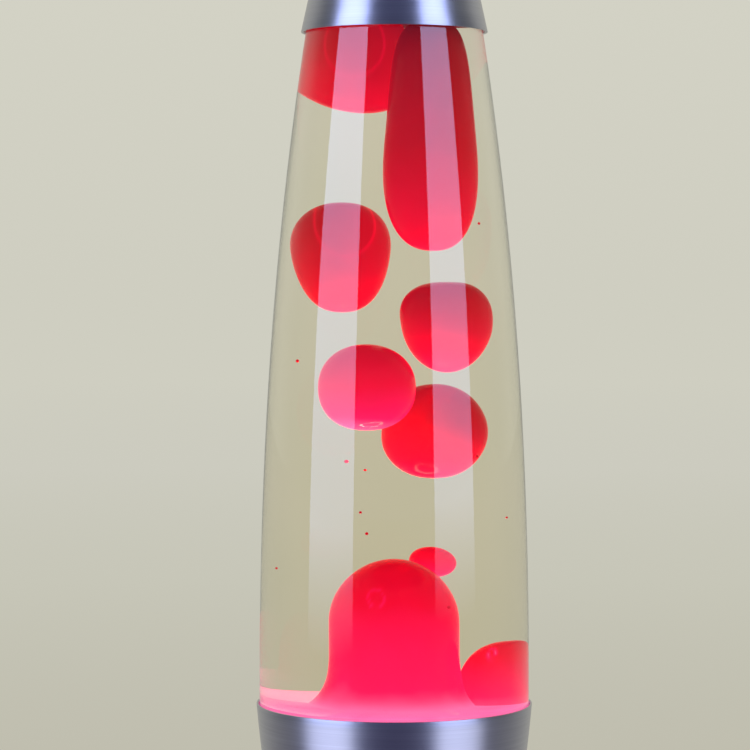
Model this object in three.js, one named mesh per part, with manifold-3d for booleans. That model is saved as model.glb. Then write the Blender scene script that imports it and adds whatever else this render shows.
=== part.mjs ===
// A liquid-motion lamp ("lava lamp"): a spun aluminium base with a screw-in bulb, a glass globe of clear
// liquid and coloured wax that lifts out of the base, and a spun aluminium cap that lifts off the globe.
// Millimetres, +Z up, origin at the middle of the footprint. Every round piece shares one axis.
import * as THREE from 'three';
import { mergeVertices } from 'three/addons/utils/BufferGeometryUtils.js';
import Module from 'manifold-3d';

const wasm = await Module();
wasm.setup();

// ---- Driving dimensions, mm ----
const baseHeight = 108; // table to the rim of the base
const columnHeight = 200; // glass that shows between the base rim and the cap rim
const capHeight = 60;
const baseRimRadius = 41.3;
const waistHeight = 46;
const waistLedge = 14; // metal between the bulb and the waist, for the flanges and their screws
const footRadius = 48;
const rimTaper = 0.0875; // how fast the base narrows just below its rim, a 5 degree cone
const sheetWall = 0.6; // spun aluminium of the base
const capWall = 0.8;
const capRimRadius = 27.8;
const capTopRadius = 14.6;
const glassWall = 2.2;
const shoulderRadius = 26.4; // glass at the level of the cap's rim
const columnBow = 2.2; // power law of the globe's taper, straight at the bottom, quick at the top
const globeDepth = 28; // how far the globe goes down into the base
const neckRadius = 12.6;
const bulbRadius = 17.5;
const bulbLength = 59;
const bulbScrewRadius = 8.4;
const fit = 0.3; // clearance between pieces that touch
const skirtLift = 1.5; // the foot's edge stays this far off the table
const rubberFootRadius = 5;
const screwRadius = 1.5;
const screwHeadRadius = 2.6;

// ---- Sizes that follow from them ----
const waistRadius = bulbRadius + waistLedge;
const columnTop = baseHeight + columnHeight;
const lampHeight = columnTop + capHeight;
const globeRadius = baseRimRadius - sheetWall - fit;
const globeBottom = baseHeight - globeDepth;
const capTaper = (capRimRadius - capTopRadius) / capHeight;
const capRest = 8; // the cap wedges on the glass this far above its own rim
const closureTop = lampHeight - 18;
const liquidLevel = columnTop + capRest + 8;
const sides = 28; // facets of the big round pieces, the same on all so that they nest
const smallSides = 16;
const waxSides = 12;

const rimBow = (baseRimRadius - rimTaper * (baseHeight - waistHeight) - waistRadius)
  / (baseHeight - waistHeight) ** 2;

// Outer radius of the base above its waist, at height z.
function cupRadius(z) {
  const below = baseHeight - z;
  return baseRimRadius - rimTaper * below - rimBow * below ** 2;
}

// Outer radius of the flared foot below the waist.
function footRadiusAt(z) {
  return waistRadius + (footRadius - waistRadius) * ((waistHeight - z) / waistHeight) ** 1.3;
}

// Outer radius of the cap.
function capRadius(z) {
  return capRimRadius - capTaper * (z - columnTop);
}

// Outer radius of the globe between the base rim and the cap rim.
function columnRadius(z) {
  const share = (z - baseHeight) / columnHeight;
  return globeRadius - (globeRadius - shoulderRadius) * share ** columnBow;
}

// ---- Making solids ----
function steps(from, to, count) {
  return Array.from({ length: count + 1 }, (_, n) => from + (to - from) * n / count);
}

// A solid of revolution about Z. An outline of [radius, height] that isn't on the axis closes on itself.
function turned(outline, facets) {
  const points = outline.map(([r, z]) => new THREE.Vector2(r, z));
  const meetsAxis = outline[0][0] === 0 && outline.at(-1)[0] === 0;
  if (!meetsAxis) points.push(points[0].clone());
  if (THREE.ShapeUtils.area(points) < 0) points.reverse();
  return new THREE.LatheGeometry(points, facets).rotateX(Math.PI / 2);
}

// A thin-walled turned piece: its outer line from one end to the other, then back along the inner line.
function turnedWall(outer, inner, facets) {
  return turned([...outer, ...[...inner].reverse()], facets);
}

function solidOf(geometry) {
  const bare = geometry.index ? geometry.toNonIndexed() : geometry.clone();
  bare.deleteAttribute('normal');
  bare.deleteAttribute('uv');
  const joined = mergeVertices(bare, 1e-4);
  const corners = joined.index.array;
  const kept = [];
  for (let n = 0; n < corners.length; n += 3) {
    const [a, b, c] = corners.slice(n, n + 3);
    if (a !== b && b !== c && c !== a) kept.push(a, b, c);
  }
  return new wasm.Manifold(new wasm.Mesh({
    numProp: 3,
    vertProperties: new Float32Array(joined.attributes.position.array),
    triVerts: new Uint32Array(kept),
  }));
}

function geometryOf(solid) {
  const mesh = solid.getMesh();
  const geometry = new THREE.BufferGeometry();
  geometry.setAttribute('position', new THREE.BufferAttribute(mesh.vertProperties, mesh.numProp));
  geometry.setIndex(new THREE.BufferAttribute(mesh.triVerts, 1));
  return geometry;
}

function joined(first, ...others) {
  return geometryOf(others.reduce((whole, next) => whole.add(solidOf(next)), solidOf(first)));
}

function cut(whole, ...tools) {
  return geometryOf(tools.reduce((left, tool) => left.subtract(solidOf(tool)), solidOf(whole)));
}

// An upright round bar, for holes and pins.
function bar(radius, bottom, top, x = 0, y = 0, facets = 12) {
  return new THREE.CylinderGeometry(radius, radius, top - bottom, facets)
    .rotateX(Math.PI / 2)
    .translate(x, y, (bottom + top) / 2);
}

// A round wire along a curve.
function wire(curve, radius, count, facets = 6) {
  const section = new THREE.Shape(steps(0, 2 * Math.PI, facets).slice(0, -1).map(
    (turn) => new THREE.Vector2(radius * Math.cos(turn), radius * Math.sin(turn)),
  ));
  return new THREE.ExtrudeGeometry(section, { steps: count, bevelEnabled: false, extrudePath: curve });
}

const finishes = {
  aluminium: { color: 0xb9bbbf, roughness: 0.3, metalness: 1 },
  steel: { color: 0x9a9a98, roughness: 0.4, metalness: 1 },
  brass: { color: 0xb8934a, roughness: 0.35, metalness: 1 },
  glass: { color: 0xe8ece4, roughness: 0.05, metalness: 0, transparent: true, opacity: 0.35 },
  liquid: { color: 0xd8cfa8, roughness: 0.05, metalness: 0, transparent: true, opacity: 0.35 },
  wax: { color: 0xe0143c, roughness: 0.4, metalness: 0 },
  rubber: { color: 0x1c1c1c, roughness: 0.9, metalness: 0 },
  blackPlastic: { color: 0x202022, roughness: 0.6, metalness: 0 },
  porcelain: { color: 0xe9e6dc, roughness: 0.35, metalness: 0 },
  liner: { color: 0xdadad2, roughness: 0.7, metalness: 0 },
  tungsten: { color: 0x6f6a64, roughness: 0.5, metalness: 1 },
};

function piece(name, geometry, finish) {
  const mesh = new THREE.Mesh(geometry, new THREE.MeshStandardMaterial(finishes[finish]));
  mesh.name = name;
  return mesh;
}

// ---- Base: two spun aluminium cones, joined flange to flange at the waist ----
const flangeOpening = bulbRadius + 3.5;
const bracketScrewPlace = (flangeOpening + waistRadius - sheetWall) / 2;
const cupFloor = waistHeight; // underside of the cup's flange
const footRoof = waistHeight - fit - sheetWall; // underside of the foot's flange
const screwHole = screwRadius + fit;

function baseCup() {
  const heights = steps(cupFloor, baseHeight - 0.4, 6);
  const outer = [
    [flangeOpening, cupFloor],
    ...heights.map((z) => [cupRadius(z), z]),
    [baseRimRadius - 0.2, baseHeight],
  ];
  const inner = [
    [flangeOpening, cupFloor + sheetWall],
    [cupRadius(cupFloor + sheetWall) - sheetWall, cupFloor + sheetWall],
    ...heights.slice(1).map((z) => [cupRadius(z) - sheetWall, z]),
    [baseRimRadius - sheetWall + 0.1, baseHeight],
  ];
  return cut(turnedWall(outer, inner, sides), ...bracketBars(screwHole, cupFloor - 1, cupFloor + 2));
}

function bracketBars(radius, bottom, top) {
  return [-1, 1].map((side) => bar(radius, bottom, top, side * bracketScrewPlace));
}

const inletHeight = 12; // middle of the cord's inlet, on the back of the foot
const inletHole = 4.3;
const inletRadius = footRadiusAt(inletHeight);
const inletTilt = Math.atan((footRadiusAt(inletHeight - 2) - footRadiusAt(inletHeight + 2)) / 4);

// Lays a piece made along Z through the foot's wall at the inlet, square to the sloping metal.
function atInlet(geometry) {
  return geometry
    .rotateX(-Math.PI / 2 + inletTilt)
    .translate(0, inletRadius - sheetWall / 2, inletHeight);
}

function baseFoot() {
  const heights = steps(waistHeight - fit, skirtLift + 0.4, 6);
  const outer = [
    [flangeOpening, waistHeight - fit],
    ...heights.map((z) => [footRadiusAt(z), z]),
    [footRadiusAt(skirtLift) - 0.1, skirtLift],
  ];
  const inner = [
    [flangeOpening, footRoof],
    [footRadiusAt(footRoof) - sheetWall, footRoof],
    ...heights.slice(1).map((z) => [footRadiusAt(z) - sheetWall, z]),
    [footRadiusAt(skirtLift) - sheetWall + 0.1, skirtLift],
  ];
  const wall = turnedWall(outer, inner, sides);
  const inlet = atInlet(bar(inletHole, -6, 6, 0, 0, smallSides));
  return cut(wall, ...bracketBars(screwHole, footRoof - 1, waistHeight + 1), inlet);
}

// The rubber grommet's groove holds the edge of the hole; its bore takes the cord.
function cordGrommet() {
  const bore = 2.6;
  const groove = inletHole - fit;
  const lip = inletHole + 1.6;
  const grooveHalf = sheetWall / 2 + fit + lip ** 2 / (2 * inletRadius);
  return atInlet(turned([
    [bore, -grooveHalf - 1.6], [lip - 0.8, -grooveHalf - 1.6], [lip, -grooveHalf], [groove, -grooveHalf],
    [groove, grooveHalf], [lip, grooveHalf], [lip - 1, grooveHalf + 2], [bore, grooveHalf + 2],
  ], smallSides));
}

// ---- Strap bracket: carries the lamp holder, hangs from the flanges, and takes the bottom cover's screws ----
const strap = 1.2;
const strapWidth = 18;
const crossbarBottom = 9;
const legPlace = flangeOpening - 1.6; // outer face of each leg
const tabTop = footRoof - fit;
const tabReach = 2.6; // metal past the middle of each tab's screw
const coverScrewPlace = 15.5;
const holderScrewPlace = 6.3;

function holderBracket() {
  const half = [
    [0, crossbarBottom], [legPlace, crossbarBottom], [legPlace, tabTop - strap],
    [bracketScrewPlace + tabReach, tabTop - strap], [bracketScrewPlace + tabReach, tabTop],
    [legPlace - strap, tabTop], [legPlace - strap, crossbarBottom + strap], [0, crossbarBottom + strap],
  ];
  const mirrored = half.slice(1, -1).reverse().map(([x, z]) => [-x, z]);
  const corners = [...half.slice(1, -1), ...mirrored];
  const outline = new THREE.Shape(corners.map(([x, z]) => new THREE.Vector2(x, z)));
  const blank = new THREE.ExtrudeGeometry(outline, { depth: strapWidth, bevelEnabled: false })
    .translate(0, 0, -strapWidth / 2)
    .rotateX(Math.PI / 2);
  return cut(
    blank,
    ...bracketBars(screwHole, tabTop - 3, tabTop + 1),
    ...[-1, 1].map((side) => bar(screwHole, crossbarBottom - 1, crossbarBottom + 3, side * coverScrewPlace)),
    ...[-1, 1].map((side) => bar(screwHole, crossbarBottom - 1, crossbarBottom + 3, 0, side * holderScrewPlace)),
  );
}

// A pan-head screw that points down from under its head, or up when turned over.
function screw(headBottom, headHeight, length) {
  return turned([
    [0, headBottom - length], [screwRadius, headBottom - length], [screwRadius, headBottom],
    [screwHeadRadius, headBottom], [screwHeadRadius, headBottom + headHeight * 0.6],
    [screwHeadRadius * 0.6, headBottom + headHeight], [0, headBottom + headHeight],
  ], 12);
}

const bracketScrewLength = 2 * sheetWall + fit + strap + 2 * fit + 2.6;
const bracketScrewTop = cupFloor + sheetWall + fit;
const nutHeight = 2.2;
const nutRadius = 3;

function hexNut(top) {
  const bore = screwRadius + fit;
  return turned([[bore, top - nutHeight], [nutRadius, top - nutHeight], [nutRadius, top], [bore, top]], 6);
}

// ---- Lamp holder: a porcelain body with a brass screw socket and a spring contact ----
const holderRadius = 12.4;
const holderBottom = crossbarBottom + strap + fit;
const socketRadius = bulbScrewRadius + fit; // inside of the brass socket
const socketWall = 0.4;
const holderBore = socketRadius + socketWall + fit;
const holderFloor = holderBottom + 5;
const contactTop = holderFloor + fit + 1.8;
const bulbTip = contactTop + fit;
const holderTop = bulbTip + 19;

function lampHolderBody() {
  const body = turned([
    [0, holderBottom], [holderRadius - 1, holderBottom], [holderRadius, holderBottom + 1],
    [holderRadius, holderTop - 1], [holderRadius - 1, holderTop], [holderBore, holderTop],
    [holderBore, holderFloor], [0, holderFloor],
  ], 24);
  const holes = [-1, 1].map((side) => bar(screwHole, holderBottom - 1, holderFloor + 1, 0, side * holderScrewPlace));
  return cut(body, ...holes);
}

function lampHolderSocket() {
  const bottom = holderFloor + fit;
  return turned([
    [socketRadius, bottom], [socketRadius + socketWall, bottom], [socketRadius + socketWall, holderTop - 0.5],
    [socketRadius, holderTop - 0.5],
  ], 24);
}

// A spring leaf in the socket's floor, narrow enough to pass between the holder's two screws.
function lampHolderContact() {
  const leaf = new THREE.Shape([
    new THREE.Vector2(-5, holderFloor + fit), new THREE.Vector2(5, holderFloor + fit),
    new THREE.Vector2(5, holderFloor + fit + 0.5), new THREE.Vector2(2, contactTop),
    new THREE.Vector2(-2, contactTop), new THREE.Vector2(-5, holderFloor + fit + 0.5),
  ]);
  return new THREE.ExtrudeGeometry(leaf, { depth: 5, bevelEnabled: false })
    .translate(0, 0, -2.5)
    .rotateX(Math.PI / 2);
}

// ---- Bottom cover: a moulded disc with two bosses, vent holes and four pressed-in rubber feet ----
const coverBottom = 3;
const coverThick = 1.5;
const coverRadius = footRadiusAt(coverBottom + coverThick) - sheetWall - fit;
const bossRadius = 3.4;
const coverScrewLength = crossbarBottom + strap - coverBottom + 2;
const rubberFootPlace = coverRadius - rubberFootRadius - 2.5;
const rubberStem = 1.8;
const ventPlace = coverRadius * 0.56;
const ventCount = 6;
const ventTurn = Math.PI / ventCount;

function around(count, radius, turn = 0) {
  return steps(0, 2 * Math.PI, count).slice(0, -1).map(
    (angle) => [radius * Math.cos(angle + turn), radius * Math.sin(angle + turn)],
  );
}

function bottomCover() {
  const disc = bar(coverRadius, coverBottom, coverBottom + coverThick, 0, 0, sides);
  const places = [-coverScrewPlace, coverScrewPlace];
  const bosses = places.map((x) => bar(bossRadius, coverBottom + 0.5, crossbarBottom - fit, x));
  const screwHoles = places.map((x) => bar(screwHole, 0, crossbarBottom + 1, x));
  const footHoles = around(4, rubberFootPlace, Math.PI / 4).map(([x, y]) => bar(rubberStem + fit, 0, 9, x, y));
  const vents = around(ventCount, ventPlace, ventTurn).map(([x, y]) => bar(3, 0, 9, x, y));
  return cut(joined(disc, ...bosses), ...screwHoles, ...footHoles, ...vents);
}

function rubberFoot() {
  return turned([
    [0, 0], [rubberFootRadius - 0.6, 0], [rubberFootRadius, 0.8], [rubberFootRadius - 0.4, coverBottom - fit],
    [rubberStem, coverBottom - fit], [rubberStem, coverBottom + coverThick + 1.2], [0, coverBottom + coverThick + 1.2],
  ], smallSides);
}

// ---- Bulb: a 35 mm round lamp on a 17 mm screw ----
const bulbTop = bulbTip + bulbLength;
const bulbMiddle = bulbTop - bulbRadius;
const bulbWall = 0.7;
const screwTop = holderTop + 2;
const bulbNeck = bulbScrewRadius - 0.4 - fit;
const insulatorBottom = bulbTip + 0.8;
const insulatorTop = insulatorBottom + 2.2;

// Outline of the bulb's glass from its neck up to its top, set in by the given depth.
function bulbOutline(depth) {
  const ball = bulbRadius - depth;
  const neck = bulbNeck - depth;
  const leaves = -0.95; // where the ball gives way to the neck, in radians below its middle
  const foot = [ball * Math.cos(leaves), bulbMiddle + ball * Math.sin(leaves)];
  return [
    [neck, screwTop - 2.5], [neck, screwTop + 1],
    [(neck + foot[0]) / 2 - 0.4, (screwTop + 1 + foot[1]) / 2],
    ...steps(leaves, Math.PI / 2, 6).slice(0, -1).map((a) => [ball * Math.cos(a), bulbMiddle + ball * Math.sin(a)]),
    [0, bulbMiddle + ball],
  ];
}

function bulbGlass() {
  return turned([...bulbOutline(0).reverse(), ...bulbOutline(bulbWall)], 20);
}

function bulbScrewCap() {
  const threads = steps(insulatorTop + 1.5, holderTop - 3, 10).map((z, n) => [bulbScrewRadius - (n % 2) * 0.4, z]);
  return turnedWall(
    [
      [6.4, insulatorTop + fit], [bulbScrewRadius - 0.6, insulatorTop + fit + 0.6],
      ...threads, [bulbScrewRadius, screwTop],
    ],
    [
      [6.4, insulatorTop + fit + 0.4], [bulbNeck, insulatorTop + 2],
      [bulbNeck + fit, screwTop - 3.2], [bulbNeck + fit, screwTop],
    ],
    20,
  );
}

function bulbInsulator() {
  return turned([
    [0, insulatorBottom], [4, insulatorBottom], [6.8, insulatorTop - 0.6], [6.8, insulatorTop], [0, insulatorTop],
  ], 16);
}

function bulbTipContact() {
  return turned([
    [0, bulbTip], [2, bulbTip + 0.1], [3, insulatorBottom - fit], [0, insulatorBottom - fit],
  ], 12);
}

// The glass mount rises from the neck; its two wires hold the ends of the filament.
const mountBottom = screwTop - 2;
const mountTop = bulbMiddle - 9;
const wirePlace = 1.6;
const wireRadius = 0.3;

function bulbMount() {
  const stem = turned([
    [0, mountBottom], [bulbNeck - bulbWall - fit, mountBottom], [bulbNeck - bulbWall - fit - 0.8, mountBottom + 1.2],
    [2.6, mountBottom + 5], [2.4, mountTop], [0, mountTop],
  ], 16);
  const wireHoles = [-1, 1].map((side) => bar(wireRadius + fit, mountTop - 5, mountTop + 1, side * wirePlace, 0, 6));
  return cut(stem, ...wireHoles);
}

function bulbLeadWire(side) {
  const path = new THREE.CatmullRomCurve3([
    new THREE.Vector3(side * wirePlace, 0, mountTop - 4.6),
    new THREE.Vector3(side * wirePlace, 0, mountTop),
    new THREE.Vector3(side * (wirePlace + 3), 0, mountTop + 5),
    new THREE.Vector3(side * 6.2, 0, bulbMiddle),
  ]);
  return wire(path, wireRadius, 8);
}

function bulbFilament() {
  const reach = 5.4;
  const path = new THREE.CatmullRomCurve3(steps(-1, 1, 16).map((share, n) => new THREE.Vector3(
    share * reach,
    0.5 * Math.cos(n * Math.PI / 2) - 1.4 * (1 - share ** 2),
    bulbMiddle + 0.5 * Math.sin(n * Math.PI / 2) + 1.2 * (1 - share ** 2),
  )));
  return wire(path, 0.2, 32, 4);
}

// ---- Globe: blown glass, straight-walled at the foot, narrowing to a bottle neck under the cap ----
const neckTop = closureTop - 2;
const neckBottom = neckTop - 13;
const globeCorner = 5;

function shoulderCurve(depth) {
  const start = capRadius(columnTop + capRest) - capWall - fit - depth;
  const low = columnTop + capRest;
  const curve = new THREE.CubicBezierCurve(
    new THREE.Vector2(start, low), new THREE.Vector2(start - 1.6, low + 8),
    new THREE.Vector2(neckRadius - depth, low + 6), new THREE.Vector2(neckRadius - depth, neckBottom),
  );
  return curve.getPoints(5).map((p) => [p.x, p.y]);
}

// The globe's wall line from the middle of its floor to its neck, set in by the given depth.
function globeLine(depth) {
  const floor = globeBottom + depth;
  const inside = (z) => cupRadius(z) - sheetWall - fit - depth;
  return [
    [0, floor + 2], [25, floor + 1.4], [31, floor],
    [inside(globeBottom + globeCorner) - 1.5, floor + (depth ? 1 : 0.8)],
    ...steps(globeBottom + globeCorner, baseHeight, 2).map((z) => [inside(z), z]),
    ...steps(baseHeight, columnTop, 7).slice(1).map((z) => [columnRadius(z) - depth, z]),
    ...shoulderCurve(depth),
  ];
}

function globeGlass() {
  const bead = neckRadius + 0.9;
  const lip = [
    [neckRadius, neckTop - 5], [bead, neckTop - 4], [bead, neckTop - 1], [bead - 0.8, neckTop],
    [neckRadius - glassWall + 0.4, neckTop], [neckRadius - glassWall, neckTop - 0.6],
  ];
  return turned([...globeLine(0), ...lip, ...globeLine(glassWall).reverse()], sides);
}

function bottleClosure() {
  const bore = neckRadius + 0.9 + fit;
  const under = neckTop + 2 * fit + 0.8;
  return turned([
    [0, under], [bore, under], [bore, neckTop - 4.6], [bore + 1.6, neckTop - 5], [bore + 1.7, neckTop - 4.4],
    [bore + 0.6, neckTop - 3.6], [bore + 0.6, under], [bore - 0.6, closureTop + 0.8], [0, closureTop + 0.8],
  ], 24);
}

function closureLiner() {
  return bar(neckRadius + 0.6, neckTop + fit, neckTop + fit + 0.7, 0, 0, 24);
}

// ---- Heat coil: a soft wire spring bent into a ring on the globe's floor, which breaks up the wax ----
const coilRing = 27;
const coilRadius = 3.2;
const coilWire = 0.5;
const coilMiddle = globeBottom + glassWall + 2 + fit + coilWire + coilRadius;
const coilTurns = 20;

function waxCoil() {
  const perTurn = 6;
  const path = new THREE.CatmullRomCurve3(steps(0, 0.985, coilTurns * perTurn).map((share, n) => {
    const round = share * 2 * Math.PI;
    const wind = n * 2 * Math.PI / perTurn;
    const r = coilRing + coilRadius * Math.cos(wind);
    return new THREE.Vector3(r * Math.cos(round), r * Math.sin(round), coilMiddle + coilRadius * Math.sin(wind));
  }));
  return wire(path, coilWire, coilTurns * perTurn, 4);
}

// ---- Wax: a pool with a rising mound and a lump on the floor, and seven free masses in the liquid ----
// The wax's heights are for a 200 mm column and keep pace with it, and its girths keep pace with the glass.
const waxAcross = globeRadius / 40.4;
const waxUp = columnHeight / 200;
const poolTop = baseHeight - 2 * waxUp;
const waxFloor = globeBottom + glassWall;

function waxHeight(aboveRim) {
  return baseHeight + aboveRim * waxUp;
}

// The mound's outline, a dome on a flaring stalk, grown by the given margin.
function moundOutline(margin) {
  const widest = waxHeight(25);
  const top = waxHeight(43.7) + margin;
  const girth = 14.2 * waxAcross + margin;
  const dome = steps(0, Math.PI / 2, 5).map((a) => [girth * Math.cos(a), widest + (top - widest) * Math.sin(a)]);
  const stalk = steps(poolTop - 1, widest, 4).slice(0, -1).map((z) => {
    const down = (widest - z) / waxUp;
    return [girth + 0.009 * down ** 2 * waxAcross, z];
  });
  return [[0, poolTop - 1], ...stalk, ...dome.slice(0, -1), [0, top]];
}

// The lump that leans on the right-hand side of the glass, grown by the given margin.
function lump(margin) {
  const radius = 7.6 * waxAcross + margin;
  const rise = waxHeight(18.5) + margin - poolTop;
  const outline = steps(0, Math.PI / 2, 4).map((a) => [radius * Math.cos(a), poolTop + rise * Math.sin(a)]);
  outline[outline.length - 1][0] = 0;
  return turned([[0, poolTop - 1], [radius, poolTop - 1], ...outline], waxSides)
    .translate(20.5 * waxAcross, 8 * waxAcross, 0);
}

function waxPool() {
  const rim = (z) => cupRadius(z) - sheetWall - fit - glassWall - fit;
  const groove = coilRadius + coilWire + fit;
  const grooveTop = coilMiddle + groove;
  const body = turned([
    [0, waxFloor + 2 + fit], [coilRing - groove, waxFloor + 1.7 + fit], [coilRing - groove, grooveTop],
    [coilRing + groove, grooveTop], [coilRing + groove, waxFloor + 1 + fit],
    [rim(globeBottom + globeCorner) - 1.9, waxFloor + 2 + fit],
    ...steps(globeBottom + globeCorner + 2, poolTop, 3).map((z) => [rim(z), z]),
    [0, poolTop],
  ], sides);
  return joined(body, turned(moundOutline(0), smallSides), lump(0));
}

// Each free mass: [name, x, y, girth, lowest, highest, egg, sinks, rises]. Its place and girth are shares of
// the room inside the glass at its middle, and its heights are above the base rim. A positive egg is wider at
// the top. It sinks and rises that far before it meets a neighbour.
const freeWax = [
  ['wax_mass_top', -0.396, 0.238, 0.475, 177, 209, 0.1, 4, 1.5],
  ['wax_drop_long', 0.316, -0.281, 0.386, 136, 203, -0.35, 1.5, 2],
  ['wax_blob_left', -0.330, 0.247, 0.305, 117.4, 149.9, 0.2, 4, 12],
  ['wax_blob_right', 0.342, 0.000, 0.304, 99.4, 126, 0.1, 1.2, 6],
  ['wax_blob_middle', -0.197, -0.394, 0.344, 82.1, 107.2, 0, 15, 5],
  ['wax_blob_low', 0.229, 0.221, 0.301, 67.8, 95.6, 0, 6, 1.2],
  ['wax_bead', 0.201, 0.382, 0.122, 38, 47, 0.1, 3, 10],
].map(([name, x, y, girth, lowest, highest, egg, sinks, rises]) => {
  const middle = waxHeight((lowest + highest) / 2);
  const half = (highest - lowest) * waxUp / 2;
  const room = columnRadius(middle) - glassWall;
  return { name, x: x * room, y: y * room, girth: girth * room, middle, half, egg, sinks, rises };
});

// Outline of one free mass. Stretch opens it at its widest level, as [down, up], into its whole path.
function waxOutline({ girth, middle, half, egg }, margin, [down, up]) {
  const reach = half + margin;
  const at = (angle, shift) => [
    (girth + margin) * Math.cos(angle) * (1 + egg * Math.sin(angle)),
    middle + reach * Math.sin(angle) + shift,
  ];
  const widest = Math.asin(egg ? (Math.sqrt(1 + 8 * egg ** 2) - 1) / (4 * egg) : 0);
  const lower = steps(-Math.PI / 2, widest, 4).slice(1).map((a) => at(a, -down));
  const upper = steps(widest, Math.PI / 2, 4).slice(down + up ? 0 : 1, -1).map((a) => at(a, up));
  return [[0, middle - reach - down], ...lower, ...upper, [0, middle + reach + up]];
}

function freeWaxMass(mass) {
  return turned(waxOutline(mass, 0, [0, 0]), waxSides);
}

// ---- Clear liquid: fills the globe round the wax, with a passage where each mass rises and sinks ----
const ventBore = 1.5; // each passage is open to the liquid's surface
const waxClearance = fit + 0.2;

function clearLiquid() {
  const bottom = poolTop + fit;
  const wall = globeLine(glassWall + fit).filter(([, z]) => z > bottom + 1 && z < liquidLevel - fit);
  const edge = shoulderCurve(glassWall + fit).find(([, z]) => z > liquidLevel)[0];
  const body = turned([
    [0, bottom], [wall[0][0], bottom], ...wall, [edge, liquidLevel], [0, liquidLevel],
  ], sides);
  const passages = freeWax.flatMap((mass) => [
    turned(waxOutline(mass, waxClearance, [mass.sinks, mass.rises]), waxSides).translate(mass.x, mass.y, 0),
    bar(ventBore, mass.middle, liquidLevel + 5, mass.x, mass.y, 6),
  ]);
  return cut(body, turned(moundOutline(waxClearance), smallSides), lump(waxClearance), ...passages);
}

// ---- Cap: one spun aluminium cone with a closed top ----
function topCap() {
  const bend = 1.6;
  const inset = capWall * Math.hypot(1, capTaper);
  return turned([
    [0, lampHeight], [capTopRadius - bend, lampHeight], [capTopRadius - bend * 0.3, lampHeight - bend * 0.3],
    [capRadius(lampHeight - bend), lampHeight - bend],
    ...steps(lampHeight - bend, columnTop, 4).slice(1).map((z) => [capRadius(z), z]),
    [capRimRadius - inset, columnTop],
    ...steps(columnTop, lampHeight - bend, 3).slice(1).map((z) => [capRadius(z) - inset, z]),
    [capTopRadius - bend, lampHeight - capWall], [0, lampHeight - capWall],
  ], sides);
}

// ---- Assembly ----
const base = new THREE.Group();
base.add(piece('base_cup', baseCup(), 'aluminium'));
base.add(piece('base_foot', baseFoot(), 'aluminium'));
base.add(piece('cord_grommet', cordGrommet(), 'rubber'));
base.add(piece('holder_bracket', holderBracket(), 'steel'));
[-1, 1].forEach((side, n) => {
  const bracketScrew = piece(`bracket_screw_${n + 1}`, screw(bracketScrewTop, 1.8, bracketScrewLength), 'steel');
  bracketScrew.position.x = side * bracketScrewPlace;
  const nut = piece(`bracket_nut_${n + 1}`, hexNut(tabTop - strap - fit), 'steel');
  nut.position.x = side * bracketScrewPlace;
  const coverScrew = piece(`cover_screw_${n + 1}`, screw(0, 1.4, coverScrewLength), 'steel');
  coverScrew.rotation.x = Math.PI;
  coverScrew.position.set(side * coverScrewPlace, 0, coverBottom - fit);
  const holderScrew = piece(`holder_screw_${n + 1}`, screw(0, 1.4, strap + 4), 'steel');
  holderScrew.rotation.x = Math.PI;
  holderScrew.position.set(0, side * holderScrewPlace, crossbarBottom - fit);
  base.add(bracketScrew, nut, coverScrew, holderScrew);
});
base.add(piece('lamp_holder_body', lampHolderBody(), 'porcelain'));
base.add(piece('lamp_holder_socket', lampHolderSocket(), 'brass'));
base.add(piece('lamp_holder_contact', lampHolderContact(), 'brass'));
base.add(piece('bottom_cover', bottomCover(), 'blackPlastic'));
around(4, rubberFootPlace, Math.PI / 4).forEach(([x, y], n) => {
  const foot = piece(`rubber_foot_${n + 1}`, rubberFoot(), 'rubber');
  foot.position.set(x, y, 0);
  base.add(foot);
});

const bulb = new THREE.Group();
bulb.add(piece('bulb_screw_cap', bulbScrewCap(), 'brass'));
bulb.add(piece('bulb_glass', bulbGlass(), 'glass'));
bulb.add(piece('bulb_insulator', bulbInsulator(), 'blackPlastic'));
bulb.add(piece('bulb_tip_contact', bulbTipContact(), 'brass'));
bulb.add(piece('bulb_mount', bulbMount(), 'glass'));
bulb.add(piece('bulb_lead_wire_1', bulbLeadWire(-1), 'steel'));
bulb.add(piece('bulb_lead_wire_2', bulbLeadWire(1), 'steel'));
bulb.add(piece('bulb_filament', bulbFilament(), 'tungsten'));

const globe = new THREE.Group();
globe.add(piece('globe_glass', globeGlass(), 'glass'));
globe.add(piece('bottle_closure', bottleClosure(), 'aluminium'));
globe.add(piece('closure_liner', closureLiner(), 'liner'));
globe.add(piece('wax_coil', waxCoil(), 'steel'));
globe.add(piece('wax_pool', waxPool(), 'wax'));
globe.add(piece('clear_liquid', clearLiquid(), 'liquid'));
freeWax.forEach((mass) => {
  const body = piece(mass.name, freeWaxMass(mass), 'wax');
  body.position.set(mass.x, mass.y, 0);
  globe.add(body);
});
globe.add(piece('top_cap', topCap(), 'aluminium'));

const lavaLamp = new THREE.Group();
lavaLamp.add(base, bulb, globe);

export default lavaLamp;
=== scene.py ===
import math

import bmesh
import bpy
from mathutils import Matrix, Vector


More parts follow.
